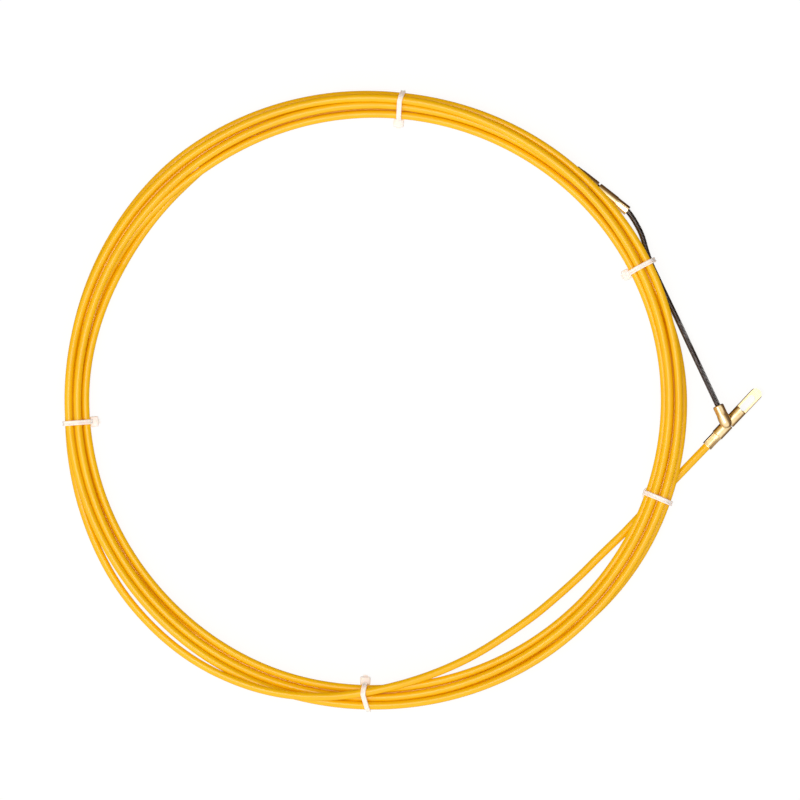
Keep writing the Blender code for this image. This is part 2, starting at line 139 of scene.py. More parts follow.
def mesh_of(bm, name, sharp=35):
    """A mesh with its doubled points merged, smooth apart from edges sharper than the given angle."""
    bmesh.ops.remove_doubles(bm, verts=bm.verts, dist=MERGE_DISTANCE)
    bmesh.ops.recalc_face_normals(bm, faces=bm.faces)
    mesh = bpy.data.meshes.new(name)
    bm.to_mesh(mesh)
    bm.free()
    mesh.shade_smooth()
    mesh.set_sharp_from_angle(angle=math.radians(sharp))
    return mesh


def settled(thing, helpers, sharp):
    """The object with its modifiers applied, and the helpers that they read removed."""
    graph = bpy.context.evaluated_depsgraph_get()
    mesh = bpy.data.meshes.new_from_object(thing.evaluated_get(graph))
    thing.modifiers.clear()
    thing.data = mesh
    mesh.shade_smooth()
    mesh.set_sharp_from_angle(angle=math.radians(sharp))
    for helper in helpers:
        bpy.data.objects.remove(helper, do_unlink=True)
    return thing


def skin(rings, looped=False):
    """A tube over rings of points, closed by end faces or back onto its first ring."""
    bm = bmesh.new()
    made = [[bm.verts.new(p) for p in ring] for ring in rings]
    sides = len(rings[0])
    if looped:
        made.append(made[0])
    for a, b in zip(made, made[1:]):
        for k in range(sides):
            after = (k + 1) % sides
            bm.faces.new((a[k], a[after], b[after], b[k]))
    if not looped:
        bm.faces.new(made[0])
        bm.faces.new(made[-1])
    return bm


def box(name, size, middle, material):
    bm = bmesh.new()
    bmesh.ops.create_cube(bm, size=1.0)
    bmesh.ops.scale(bm, vec=size, verts=bm.verts)
    bmesh.ops.translate(bm, vec=middle, verts=bm.verts)
    return link(name, mesh_of(bm, name), material)


def combine(thing, other, operation):
    modifier = thing.modifiers.new(operation.lower(), "BOOLEAN")
    modifier.operation = operation
    modifier.solver = "EXACT"
    modifier.object = other


def bevel(thing, width, segments, angle=30):
    modifier = thing.modifiers.new("edges", "BEVEL")
    modifier.width = width
    modifier.segments = segments
    modifier.limit_method = "ANGLE"
    modifier.angle_limit = math.radians(angle)


# ---------------------------------------------------------------- materials

NOISE_ROUGHNESS = 0.55


def fill_ramp(node, stops):
    """Give a colour ramp node its (position, colour) stops."""
    points = node.color_ramp.elements
    while len(points) < len(stops):
        points.new(0.5)
    for point, (spot, colour) in zip(points, stops):
        point.position = spot
        point.color = (*colour, 1.0)


class Nodes:
    """A short way to write one material's nodes."""

    def __init__(self, name):
        self.material = bpy.data.materials.new(name)
        self.material.use_nodes = True
        self.tree = self.material.node_tree
        self.shader = self.tree.nodes["Principled BSDF"]

    def add(self, kind, **inputs):
        node = self.tree.nodes.new("ShaderNode" + kind)
        for key, value in inputs.items():
            self.put(node, key.replace("_", " "), value)
        return node

    def put(self, node, key, value):
        if isinstance(value, bpy.types.NodeSocket):
            self.tree.links.new(value, node.inputs[key])
        else:
            node.inputs[key].default_value = value

    def set(self, **inputs):
        for key, value in inputs.items():
            self.put(self.shader, key.replace("_", " "), value)

    def noise(self, scale, detail):
        """Noise in the piece's own space."""
        where = self.add("TexCoord").outputs["Object"]
        node = self.add("TexNoise", Vector=where, Scale=scale, Detail=detail, Roughness=NOISE_ROUGHNESS)
        return node.outputs["Fac"]

    def ramp(self, value, stops):
        node = self.add("ValToRGB", Fac=value)
        fill_ramp(node, stops)
        return node.outputs["Color"]

    def span(self, value, to_low, to_high):
        """A value spread from the middle part of a noise onto another range."""
        node = self.add("MapRange", Value=value, From_Min=0.3, From_Max=0.7, To_Min=to_low, To_Max=to_high)
        return node.outputs["Result"]

    def bump(self, height, distance, strength):
        node = self.add("Bump", Height=height, Distance=distance, Strength=strength)
        return node.outputs["Normal"]


def rod_plastic():
    """Glossy yellow plastic, whose faint glow stands for light passing through it in the deep gaps."""
    n = Nodes("rod_plastic")
    colour = n.ramp(n.noise(60.0, 2.0), [(0.3, (0.78, 0.44, 0.001)), (0.55, (0.80, 0.46, 0.001)),
                                         (0.75, (0.82, 0.48, 0.002))])
    n.set(Base_Color=colour, Roughness=n.span(n.noise(900.0, 4.0), 0.12, 0.18), Specular_IOR_Level=0.55)
    n.set(IOR=1.45, Emission_Color=(1.0, 0.35, 0.0, 1.0), Emission_Strength=0.10)
    return n.material


def brass():
    """Turned brass with fine tool marks round each piece's own Z axis, and thin tarnish."""
    n = Nodes("brass")
    along = n.add("VectorMath", Vector=n.add("TexCoord").outputs["Object"])
    along.operation = "DOT_PRODUCT"
    along.inputs[1].default_value = (0, 0, 1)
    marks = n.add("TexNoise", Scale=9000.0, Detail=2.0)
    marks.noise_dimensions = "1D"
    n.put(marks, "W", along.outputs["Value"])
    cloud = n.noise(420.0, 4.0)
    colour = n.ramp(cloud, [(0.28, (0.85, 0.60, 0.29)), (0.5, (0.93, 0.73, 0.42)),
                            (0.75, (0.96, 0.80, 0.50))])
    n.set(Base_Color=colour, Roughness=n.span(cloud, 0.31, 0.20), Metallic=1.0,
          Normal=n.bump(marks.outputs["Fac"], 0.01 * MM, 0.35))
    return n.material


def steel(name, scale, detail, stops, roughness):
    """Steel whose colour and roughness change in small clouds."""
    n = Nodes(name)
    cloud = n.noise(scale, detail)
    n.set(Base_Color=n.ramp(cloud, stops), Roughness=n.span(cloud, *roughness), Metallic=1.0)
    return n.material


def tie_nylon():
    """Natural nylon, which lets some light through."""
    n = Nodes("tie_nylon")
    cloud = n.noise(500.0, 3.0)
    colour = n.ramp(cloud, [(0.3, (0.97, 0.83, 0.79)), (0.7, (0.98, 0.88, 0.85))])
    n.set(Base_Color=colour, Roughness=n.span(cloud, 0.36, 0.26))
    n.set(IOR=1.35, Subsurface_Weight=0.6, Subsurface_Radius=(1.0, 0.8, 0.7), Subsurface_Scale=MM)
    return n.material


def floor_white():
    n = Nodes("floor_white")
    n.set(Roughness=0.9, Emission_Strength=0.9)
    n.set(Base_Color=(0.1, 0.1, 0.1, 1), Emission_Color=(1, 1, 1, 1))
    return n.material


ROD_PLASTIC = rod_plastic()
SPRING_STEEL = steel("spring_steel", 700.0, 4.0, [(0.3, (0.08, 0.07, 0.074)), (0.6, (0.18, 0.162, 0.17)),
                                                  (0.8, (0.36, 0.34, 0.35))], (0.30, 0.20))
BRASS = brass()
STUD_STEEL = steel("stud_steel", 900.0, 3.0, [(0.3, (0.10, 0.095, 0.09)), (0.7, (0.20, 0.19, 0.18))],
                   (0.42, 0.3))
TIE_NYLON = tie_nylon()

# ---------------------------------------------------------------- the rod

ROD_RADIUS = 1.75 * MM
ROD_FLOOR = 2.9 * MM  # the lowest height of the rod's middle, on the ties' undersides
ROD_SPACING = 3.53 * MM  # between the middles of turns that touch
ROD_CLEARANCE = 0.05 * MM  # between the rod and the leader's parts
ROD_SIDES = 24
ROD_STEP = 2.3 * MM

EYE_ENTRY = COIL_CENTRE + Vector((147.2, -20.1, 2.7)) * MM
EYE_AXIS = heading(46.7)
EYE_FRAME = placed_along(EYE_ENTRY, EYE_AXIS)
EYE_INSERTION = 7.2 * MM
SOCKET_INSERTION = 6.2 * MM

# Radius in millimetres at angles clockwise from +X, one list for each turn, from the eye to the leader.
TURNS = [
    [(7.78, 148.57), (14.1, 138.3), (21.5, 129.8), (30, 123.6), (35, 121.0), (40, 119.6), (45, 118.7),
     (50, 118.4), (60, 119.0), (70, 121.4), (80, 124.5), (90, 128.5), (100, 133.4), (110, 137.4),
     (120, 139.9), (127, 140.9), (135, 141.2), (145, 140.85), (160, 138.9), (170, 137.6), (178, 136.8),
     (190, 136.9), (210, 138.0), (228, 138.9), (240, 138.4), (260, 136.9), (278, 135.7), (310, 135.7),
     (335, 135.5), (350, 134.9)],
    [(0, 134.7), (40, 135.0), (60, 135.4), (90, 135.4), (120, 136.3), (150, 136.3), (180, 136.7),
     (225, 137.1), (240, 136.3), (260, 135.3), (280, 134.0), (300, 132.7), (320, 131.8), (345, 130.8)],
    [(0, 130.5), (20, 130.4), (60, 131.1), (100, 132.3), (120, 132.9), (150, 132.9), (180, 132.8),
     (225, 132.4), (240, 132.0), (270, 131.7), (280, 131.2), (300, 131.3), (309, 131.5), (318, 132.6),
     (325, 133.1), (335, 133.2), (345, 135.1), (352, 136.1)],
    [(0, 136.6), (20, 136.7), (30, 136.5), (40, 135.8), (50, 134.7), (62, 134.0), (90, 134.1), (110, 133.6),
     (122, 132.4), (135, 131.2), (150, 130.9), (165, 130.3), (180, 129.9), (200, 131.1), (209, 131.3),
     (220, 130.3), (234, 128.5), (260, 127.8), (280, 127.6), (300, 127.7), (330, 128.3)],
    [(0, 128.4), (40, 127.9), (75, 127.6), (90, 128.0), (110, 128.6), (140, 128.5), (170, 129.0),
     (185, 129.2), (209, 127.8), (228, 128.2), (236, 129.2), (245, 129.9), (265, 129.9), (280, 129.6),
     (300, 129.7), (312, 129.8), (325, 129.9), (335, 130.6), (345, 132.2)],
    [(0, 132.8), (30, 132.7), (42, 133.0), (50, 132.4), (60, 130.6), (70, 129.9), (90, 130.0), (120, 130.9),
     (135, 131.9), (150, 133.0), (180, 133.6), (200, 134.4), (230, 134.5), (250, 133.6), (268, 133.0),
     (288, 134.1), (300, 135.2), (310.8, 135.7)]]
# Which turn lies on which: from this many turns and degrees on, the rod has this rank in the pile.
RANKS = [(0, 0, -1), (0, 65, 20), (0, 130, 0), (0, 255, 4), (1, 0, 5), (2, 0, 3), (3, 0, 1), (3, 208, 2.5),
         (4, 0, 2), (5, 0, 1.5), (5, 180, 2.7)]
FIRST_DEGREE, LAST_DEGREE = 8, 360 * 5 + 310
# A few of those degrees are left out at both ends, so that the rod bends evenly into its fittings.
FREE_TURNS = slice(6, -3)
# The eye's end of the rod climbs over the others: how high, and the degrees where it climbs and comes down.
CROSSING_HEIGHT = 5.9 * MM
CLIMB, DESCENT = (45, 82), (108, 132)

# The leader's sleeves and spring, which the outermost turns lie on.
LEADER_START = polar(310.8, 135.7 * MM, 2.7 * MM)
LEADER_AXIS = heading(-38.0)
SLEEVE_RADIUS = 2.4 * MM
SOCKET_LENGTH = 12.0 * MM
SLEEVE_SPACE = 0.8 * MM
PLUG_LENGTH = 16.7 * MM
SLEEVE_STEP, SLEEVE_STEPS = 0.5 * MM, 60  # points along both sleeves, for what lies on them
PLUG_MOUTH = LEADER_START + LEADER_AXIS * (SOCKET_LENGTH + SLEEVE_SPACE + PLUG_LENGTH)
SPRING_RADIUS = 1.3 * MM
BULLET_MOUTH = COIL_CENTRE + Vector((151.95, -2.0, 8.4)) * MM
BULLET_AXIS = heading(-65.0)
SPRING_INSERTION = 5.0 * MM
BULLET_INSERTION = 4.1 * MM
LEADER_STEP = 0.4 * MM
# Angle clockwise from +X, radius and height, both in millimetres.
LEADER_STOPS = [(325, 140.2, 2.7), (328, 139.4, 2.65), (331, 137.6, 2.65), (333.8, 136.7, 2.65),
                (336.0, 136.68, 2.65), (341.7, 137.7, 2.65), (345.5, 139.2, 2.75), (349.6, 141.4, 4.0),
                (354.2, 144.9, 6.3)]


def leader_route():
    in_plug = [PLUG_MOUTH - LEADER_AXIS * SPRING_INSERTION, PLUG_MOUTH - LEADER_AXIS * SPRING_INSERTION / 2,
               PLUG_MOUTH]
    free = [polar(a, r * MM, z * MM) for a, r, z in LEADER_STOPS]
    in_bullet = [BULLET_MOUTH, BULLET_MOUTH + BULLET_AXIS * BULLET_INSERTION]
    return smooth_points(in_plug + free + in_bullet, LEADER_STEP)


def around(points):
    """Angles in degrees clockwise from +X, radii and heights of points about the coil's middle."""
    offsets = np.array([p - COIL_CENTRE for p in points])
    angles = np.degrees(np.arctan2(-offsets[:, 1], offsets[:, 0])) % 360
    return angles, np.hypot(offsets[:, 0], offsets[:, 1]), offsets[:, 2]


def pile_up(leader):
    """Degrees, radii and heights of the rod's turns, resting on each other and on the leader's parts."""
    degrees = np.arange(FIRST_DEGREE, LAST_DEGREE + 1)
    stops = [(360 * k + a, r) for k, turn in enumerate(TURNS) for a, r in turn]
    radius = np.array([through(stops, float(x)) for x in degrees]) * MM
    slope = np.gradient(radius) / (radius * math.radians(1))
    rank = np.zeros(len(degrees))
    for turns, start, value in RANKS:
        rank[degrees >= 360 * turns + start] = value
    least = np.full(len(degrees), ROD_FLOOR)
    least += CROSSING_HEIGHT * (eased(degrees, *CLIMB) - eased(degrees, *DESCENT))
    blocks = obstacles(leader)
    for i, x in enumerate(degrees):
        for block_radius, block_height, block_size in blocks.get(int(x) % 360, ()):
            reach = ROD_RADIUS + block_size + ROD_CLEARANCE
            off = radius[i] - block_radius
            if abs(off) < reach:
                least[i] = max(least[i], block_height + math.sqrt(reach**2 - off**2))
    height = least.copy()
    for a in range(360):
        here = sorted(range((a - FIRST_DEGREE) % 360, len(degrees), 360), key=lambda i: rank[i])
        for m, i in enumerate(here):
            for j in here[:m]:
                apart = abs(radius[i] - radius[j]) / math.hypot(1, slope[i] - slope[j])
                if apart < ROD_SPACING:
                    height[i] = max(height[i], height[j] + math.sqrt(ROD_SPACING**2 - apart**2))
    return degrees, radius, relax(radius, height, slope, rank, least)


# Passes over the heights: how many in all, how many of them smooth, and how many of those smooth widely.
PASSES, SMOOTH_PASSES, WIDE_PASSES = 400, 330, 200
WIDE, NARROW = 2.5, 1.2  # how far each smoothing reaches, in degrees
PUSH_SHARE = 0.4  # how much of an overlap one pass removes, from each of the two turns


def smoothed(values, spread):
    """The values averaged under a bell curve of the given spread."""
    reach = int(4 * spread)
    weights = np.exp(-0.5 * (np.arange(-reach, reach + 1) / spread) ** 2)
    weights /= weights.sum()
    padded = np.concatenate([np.full(reach, values[0]), values, np.full(reach, values[-1])])
    return np.convolve(padded, weights, "valid")


def relax(radius, height, slope, rank, least):
    """Smooth the heights along the rod while the turns go on resting on each other."""
    pairs = []
    for m in range(1, len(TURNS)):
        n = len(radius) - 360 * m
        if n > 0:
            apart = (radius[360 * m:] - radius[:n]) / np.hypot(1, slope[:n] - slope[360 * m:])
            rise = np.sqrt(np.clip(ROD_SPACING**2 - apart**2, 0, None))
            pairs.append((n, 360 * m, rise, np.sign(rank[360 * m:] - rank[:n]), rise > 0))
    for step in range(PASSES):
        if step < SMOOTH_PASSES:
            height = smoothed(height, WIDE if step < WIDE_PASSES else NARROW)
        push = np.zeros_like(height)
        for n, m, rise, sign, near in pairs:
            short = np.where(near, np.clip(rise - sign * (height[m:] - height[:n]), 0, None), 0) * PUSH_SHARE
            push[:n] -= sign * short
            push[m:] += sign * short
        height = np.maximum(height + push, least)
    return height


def obstacles(leader):
    """Radius, height and size of the leader's parts at each whole degree."""
    sleeves = [LEADER_START + LEADER_AXIS * (SLEEVE_STEP * i) for i in range(SLEEVE_STEPS)]
    found = {}
    for points, size in ((sleeves, SLEEVE_RADIUS), (leader, SPRING_RADIUS)):
        angles, radii, heights = around(points)
        for a, r, z in zip(angles, radii, heights):
            found.setdefault(int(round(a)) % 360, []).append((r, z, size))
    return found


def ring_frames(points):
    """A frame at each point whose Z follows the line and which doesn't twist."""
    last = len(points) - 1
    along = [(points[min(i + 1, last)] - points[max(i - 1, 0)]).normalized() for i in range(last + 1)]
    side = Vector((0, 0, 1)).cross(along[0]).normalized()
    frames = []
    for point, axis in zip(points, along):
        side = (side - axis * side.dot(axis)).normalized()
        frames.append((point, side, axis.cross(side), axis))
    return frames


def circle(middle, side, up, radius, sides):
    turns = [math.tau * k / sides for k in range(sides)]
    return [middle + side * (radius * math.cos(turn)) + up * (radius * math.sin(turn)) for turn in turns]


def rod_route(leader):
    """The rod's middle line, from inside the eye's sleeve to inside the leader's."""
    degrees, radius, height = pile_up(leader)
    turns = [polar(float(a), r, z) for a, r, z in zip(degrees, radius, height)]
    in_eye = [EYE_ENTRY + EYE_AXIS * (EYE_INSERTION * u) for u in (1, 0.5, 0)]
    in_socket = [LEADER_START + LEADER_AXIS * (SOCKET_INSERTION * u) for u in (0, 0.5, 1)]
    return smooth_points(in_eye + turns[FREE_TURNS] + in_socket, ROD_STEP)


def make_rod(path, material):
    rings = [circle(point, side, up, ROD_RADIUS, ROD_SIDES) for point, side, up, _ in ring_frames(path)]
    return link("rod", mesh_of(skin(rings), "rod", sharp=60), material)


leader_path = leader_route()
rod_path = rod_route(leader_path)
rod = make_rod(rod_path, ROD_PLASTIC)
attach(rod, "coil")
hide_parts("rod_coil", "rod_tail", "rod_lead_out")

# ---------------------------------------------------------------- the leader's spring

WIRE_RADIUS = 0.31 * MM
WIRE_PITCH = 0.66 * MM
WIRE_STEPS = 14  # in one turn
WIRE_SIDES = 6


def make_spring(material):
    """One wire wound closely along the leader's whole route."""
    frames = ring_frames(leader_path)
    spots = np.array([list(f[0]) for f in frames])
    reach = np.concatenate([[0], np.cumsum(np.linalg.norm(np.diff(spots, axis=0), axis=1))])
    count = int(reach[-1] / WIRE_PITCH * WIRE_STEPS)
    rings = []
    for i in range(count + 1):
        s = reach[-1] * i / count
        k = min(int(np.searchsorted(reach, s, "right")) - 1, len(frames) - 2)
        u = (s - reach[k]) / (reach[k + 1] - reach[k])
        centre = frames[k][0].lerp(frames[k + 1][0], u)
        side = frames[k][1].lerp(frames[k + 1][1], u).normalized()
        up = frames[k][2].lerp(frames[k + 1][2], u).normalized()
        turn = math.tau * i / WIRE_STEPS
        out = side * math.cos(turn) + up * math.sin(turn)
        spot = centre + out * (SPRING_RADIUS - WIRE_RADIUS)
        rings.append(circle(spot, out, frames[k][3], WIRE_RADIUS, WIRE_SIDES))
    return link("leader_spring", mesh_of(skin(rings), "leader_spring", sharp=80), material)


spring = make_spring(SPRING_STEEL)
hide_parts("leader_spring_rear", "leader_spring_front")
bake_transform(spring)

# ---------------------------------------------------------------- brass fittings

EYE_RADIUS = 2.7 * MM
EYE_LENGTH = 13.8 * MM
EYE_GAP = 0.3 * MM  # between the eye's sleeve and its tip
STUD_BORE = 1.65 * MM
ROD_BORE = 1.8 * MM
SLEEVE_SIDES = 72
EYE_SIDES = 64
NO_RADIUS = 0.01 * MM  # closes a turned shape at its middle


def turned(name, profile, material, sides, shape=None):
    """Turn (radius, distance) stops about local Z; shape(distance, angle, radius) may change a radius."""
    rings = []
    for radius, along in profile:
        ring = []
        for k in range(sides):
            turn = math.tau * k / sides
            r = shape(along, turn, radius) if shape else radius
            ring.append(Vector((r * math.cos(turn), r * math.sin(turn), along)))
        rings.append(ring)
    return link(name, mesh_of(skin(rings, looped=True), name, sharp=28), material)


def hexed(turn, offset, flat, corner):
    """Radius of a hexagon with rounded corners."""
    part = (turn - offset + math.pi / 6) % (math.pi / 3) - math.pi / 6
    return min(flat / math.cos(part), corner)


def steps_between(a, b, count):
    """Stops from a to b in equal steps, without b itself."""
    return [(a[0] + (b[0] - a[0]) * i / count, a[1] + (b[1] - a[1]) * i / count) for i in range(count)]


def sleeve(name, frame_at, material, radius, length, bore, crimp, flat, offset):
    """A sleeve with its outer edges broken, crimped at its rod end to six flats, the first at offset."""
    c = 0.25 * MM
    groove_depth, groove_half = 0.26 * MM, math.radians(4)
    neck, thread_end = radius - 0.1 * MM, length - 3 * MM
    outer = [(radius - 0.35 * MM, 0), (radius - 0.12 * MM, c)]
    outer += steps_between((neck, 2 * c), (neck, crimp), 5)
    outer += [(neck, crimp), (radius, crimp + 0.35 * MM), (radius, crimp + 0.8 * MM)]
    outer += [(radius, length - 2 * c), (radius, length - 1.5 * c), (radius - 0.25 * c, length - 0.6 * c),
              (radius - c, length)]
    profile = outer + [(STUD_BORE, length), (STUD_BORE, thread_end), (bore, thread_end), (bore, 0)]

    def shape(along, turn, base):
        if base < radius - 0.5 * MM:
            return base
        amount = 1 - float(eased(along, crimp - 0.25 * MM, crimp + 0.35 * MM))
        start = float(eased(along, -0.2 * MM, 0.6 * MM))
        corner = abs((turn - offset) % (math.pi / 3) - math.pi / 6)
        groove = groove_depth * math.exp(-((corner / groove_half) ** 2))
        pressed = hexed(turn, offset, flat, flat * 1.13) - groove
        return min(base, base + (pressed - base) * amount * (0.6 + 0.4 * start))

    piece = turned(name, profile, material, SLEEVE_SIDES, shape)
    piece.matrix_world = frame_at
    return piece


def make_eye_tip(material):
    """A round body, milled to a flat tongue with a rounded end and a slot."""
    radius, start, end, length = EYE_RADIUS, EYE_LENGTH + EYE_GAP, 22.0 * MM, 34.3 * MM
    c = 0.4 * MM
    bore_end = start + 4.5 * MM
    profile = [(STUD_BORE, start), (radius - c, start), (radius - 0.3 * c, start + 0.3 * c),
               (radius, start + c), (radius, start + c + 0.1 * MM), (radius, length - 2.9 * MM),
               (radius - 0.3 * MM, length), (NO_RADIUS, length), (NO_RADIUS, bore_end),
               (STUD_BORE, bore_end)]
    tip = turned("eye_tip_detail", profile, material, EYE_SIDES)
    helpers = []
    for side in (-1, 1):
        helpers.append(flat_cutter(side, end, length, material))
        combine(tip, helpers[-1], "DIFFERENCE")
    helpers.append(bar("eye_end", radius + 0.02 * MM, 10 * MM, length, material, both_ends=False))
    combine(tip, helpers[-1], "INTERSECT")
    helpers.append(bar("eye_slot", 1.55 * MM, 22.1 * MM, 30.7 * MM, material))
    combine(tip, helpers[-1], "DIFFERENCE")
    bevel(tip, 0.42 * MM, segments=3, angle=40)
    settled(tip, helpers, sharp=28)
    tip.matrix_world = EYE_FRAME
    return tip


def flat_cutter(side, end, length, material):
    """What is milled off one face to leave the tongue, with a small radius at the shoulder."""
    half, thick, fillet, past, steps = 3.2 * MM, 1.2 * MM, 0.5 * MM, 1 * MM, 5
    outline = [(thick, length + past), (thick, end + fillet)]
    for k in range(1, steps + 1):
        turn = math.pi / 2 * k / steps
        outline.append((thick + fillet * (1 - math.cos(turn)), end + fillet - fillet * math.sin(turn)))
    outline += [(4 * MM, end), (4 * MM, length + past)]
    rings = [[Vector((x, side * y, z)) for y, z in outline] for x in (-half, half)]
    return link("eye_flat", mesh_of(skin(rings), "eye_flat"), material)


def bar(name, half_width, low, high, material, both_ends=True):
    """An upright bar with one rounded end, or two, from low to high along local Z."""
    steps, thickness = 14, 9 * MM
    outline = []
    for k in range(steps + 1):
        turn = math.pi * k / steps
        outline.append((half_width * math.cos(turn), high - half_width + half_width * math.sin(turn)))
    if both_ends:
        outline += [(-x, low + high - z) for x, z in outline]
    else:
        outline += [(-half_width, low), (half_width, low)]
    rings = [[Vector((x, y, z)) for x, z in outline] for y in (-thickness / 2, thickness / 2)]
    return link(name, mesh_of(skin(rings), name), material)


def make_stud(name, middle, frame_at, material):
    """A threaded stud: one thread ridge wound along it."""
    pitch, half, outer, depth = 0.7 * MM, 4.2 * MM, 1.5 * MM, 0.22 * MM
    count, sides = 132, 24
    rings = []
    for i in range(count + 1):
        along = middle - half + 2 * half * i / count
        ring = []
        for k in range(sides):
            turn = math.tau * k / sides
            phase = (along / pitch - turn / math.tau) % 1
            r = outer - depth * abs(2 * phase - 1)
            ring.append(Vector((r * math.cos(turn), r * math.sin(turn), along)))
        rings.append(ring)
    stud = link(name, mesh_of(skin(rings), name, sharp=40), material)
    stud.matrix_world = frame_at
    return stud


def make_bullet(material):
    """A sleeve with six flats pressed into its neck and a blunt rounded nose."""
    radius, neck_radius, mouth_flat, nose = 2.7 * MM, 2.5 * MM, 2.34 * MM, 0.5 * MM
    neck, straight, length = 4.5 * MM, 7.7 * MM, 10.9 * MM
    bore, bore_end = 1.36 * MM, 4.4 * MM
    profile = [(bore, bore_end), (bore, 0), (2.1 * MM, 0), (2.36 * MM, 0.25 * MM)]
    profile += steps_between((neck_radius, 0.5 * MM), (neck_radius, neck), 4)
    profile += [(neck_radius, neck), (2.55 * MM, neck + 0.35 * MM), (2.64 * MM, neck + 0.9 * MM),
                (radius, neck + 1.7 * MM), (radius, straight)]
    steps = 12
    for k in range(1, steps):
        u = k / steps
        profile.append((nose + (radius - nose) * math.sqrt(1 - u**2.1), straight + (length - straight) * u))
    profile += [(0.4 * MM, length), (NO_RADIUS, length), (NO_RADIUS, bore_end)]

    def shape(along, turn, base):
        if base < 2.0 * MM or along > neck + 0.4 * MM:
            return base
        amount = 1 - float(eased(along, neck - 0.4 * MM, neck + 0.4 * MM))
        pressed = hexed(turn, 0.3, mouth_flat, neck_radius)
        return min(base, base + (pressed - base) * amount)

    bullet = turned("bullet_tip_detail", profile, material, SLEEVE_SIDES, shape)
    bullet.matrix_world = placed_along(BULLET_MOUTH, BULLET_AXIS)
    return bullet


eye_socket = sleeve("eye_socket_detail", EYE_FRAME, BRASS, radius=EYE_RADIUS, length=EYE_LENGTH,
                    bore=ROD_BORE, crimp=6.5 * MM, flat=2.2 * MM, offset=math.radians(75))
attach(eye_socket, "coil")
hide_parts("eye_socket")
eye_tip = make_eye_tip(BRASS)
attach(eye_tip, "eye_tip")
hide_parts("eye_tip")
eye_stud = make_stud("eye_stud_detail", EYE_LENGTH, EYE_FRAME, STUD_STEEL)
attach(eye_stud, "eye_stud")
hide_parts("eye_stud")

LEADER_FRAME = placed_along(LEADER_START, LEADER_AXIS)
leader_socket = sleeve("leader_socket_detail", LEADER_FRAME, BRASS, radius=SLEEVE_RADIUS,
                       length=SOCKET_LENGTH, bore=ROD_BORE, crimp=3.0 * MM, flat=2.1 * MM, offset=0.3)
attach(leader_socket, "coil")
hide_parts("leader_socket")
leader_plug = sleeve("leader_plug_detail", placed_along(PLUG_MOUTH, -LEADER_AXIS), BRASS,
                     radius=SLEEVE_RADIUS, length=PLUG_LENGTH, bore=1.26 * MM, crimp=6.5 * MM,
                     flat=2.05 * MM, offset=0.4)
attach(leader_plug, "coil")
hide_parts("leader_plug")
leader_stud = make_stud("leader_stud_detail", SOCKET_LENGTH + SLEEVE_SPACE / 2, LEADER_FRAME,
                        STUD_STEEL)
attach(leader_stud, "coil")
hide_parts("leader_stud")
bullet = make_bullet(BRASS)
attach(bullet, "leader_front")
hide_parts("bullet_tip")
for name in ("leader_core_rear", "leader_core_front"):
    core_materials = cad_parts[name].data.materials
    core_materials.clear()
    core_materials.append(STUD_STEEL)

# ---------------------------------------------------------------- cable ties

STRAP_HALF = 1.08 * MM
STRAP_THICKNESS = 1.0 * MM
STRAP_CLEARANCE = 0.06 * MM
STRAP_STEPS = 96
TABLE_CLEARANCE = 0.02 * MM
HEAD_SIZE = Vector((3.7, 4.6, 4.2)) * MM
HEAD_HEIGHT = 4.3 * MM
HIDDEN_HEAD_RADIUS = 127.5 * MM
MOUTH_SIZE = Vector((1.6, 2.9, 1.9)) * MM
CUT_END_SIZE = Vector((3.4, 2.1, 1.0)) * MM
CUT_END_OFFSET = 0.9 * MM
HELD_ANGLE = 1.1  # degrees to either side of a tie in which it holds what passes
HELD_RADIUS = 100 * MM  # only the coil is farther out than this
# Each tie's angle, and how far its strap lies to one side at its inner end, middle and outer end.
TIES = {"tie_lower_right": (19.0, 0.4, 0.1, -0.4), "tie_bottom": (91.8, -0.86, -1.58, 0.96),
        "tie_left": (175.85, 0.0, 0.0, 0.0), "tie_top": (274.7, 0.05, 0.76, -0.77),
        "tie_upper_right": (333.1, -0.3, 0.1, 0.0)}


def held_circles(angle):
    """The rod's turns, and the leader's parts, that pass a tie's plane: (radius, height, size)."""
    found = []
    for points, size in ((rod_path, ROD_RADIUS), (leader_path, SPRING_RADIUS)):
        angles, radii, heights = around(points)
        off = (angles - angle + 180) % 360 - 180
        for o, r, z in zip(off, radii, heights):
            if abs(o) < HELD_ANGLE and r > HELD_RADIUS and z > 0:
                found.append((r, z, size))
    return found


def wrap(circles):
    """A taut line round the circles: (radius, height, outward part, upward part) at each step."""
    outline = []
    for k in range(STRAP_STEPS):
        turn = math.tau * (k + 0.5) / STRAP_STEPS
        out, up = math.cos(turn), math.sin(turn)
        radius, height, size = max(circles, key=lambda c: c[0] * out + c[1] * up + c[2])
        reach = size + STRAP_CLEARANCE
        outline.append((radius + reach * out, height + reach * up, out, up))
    return outline


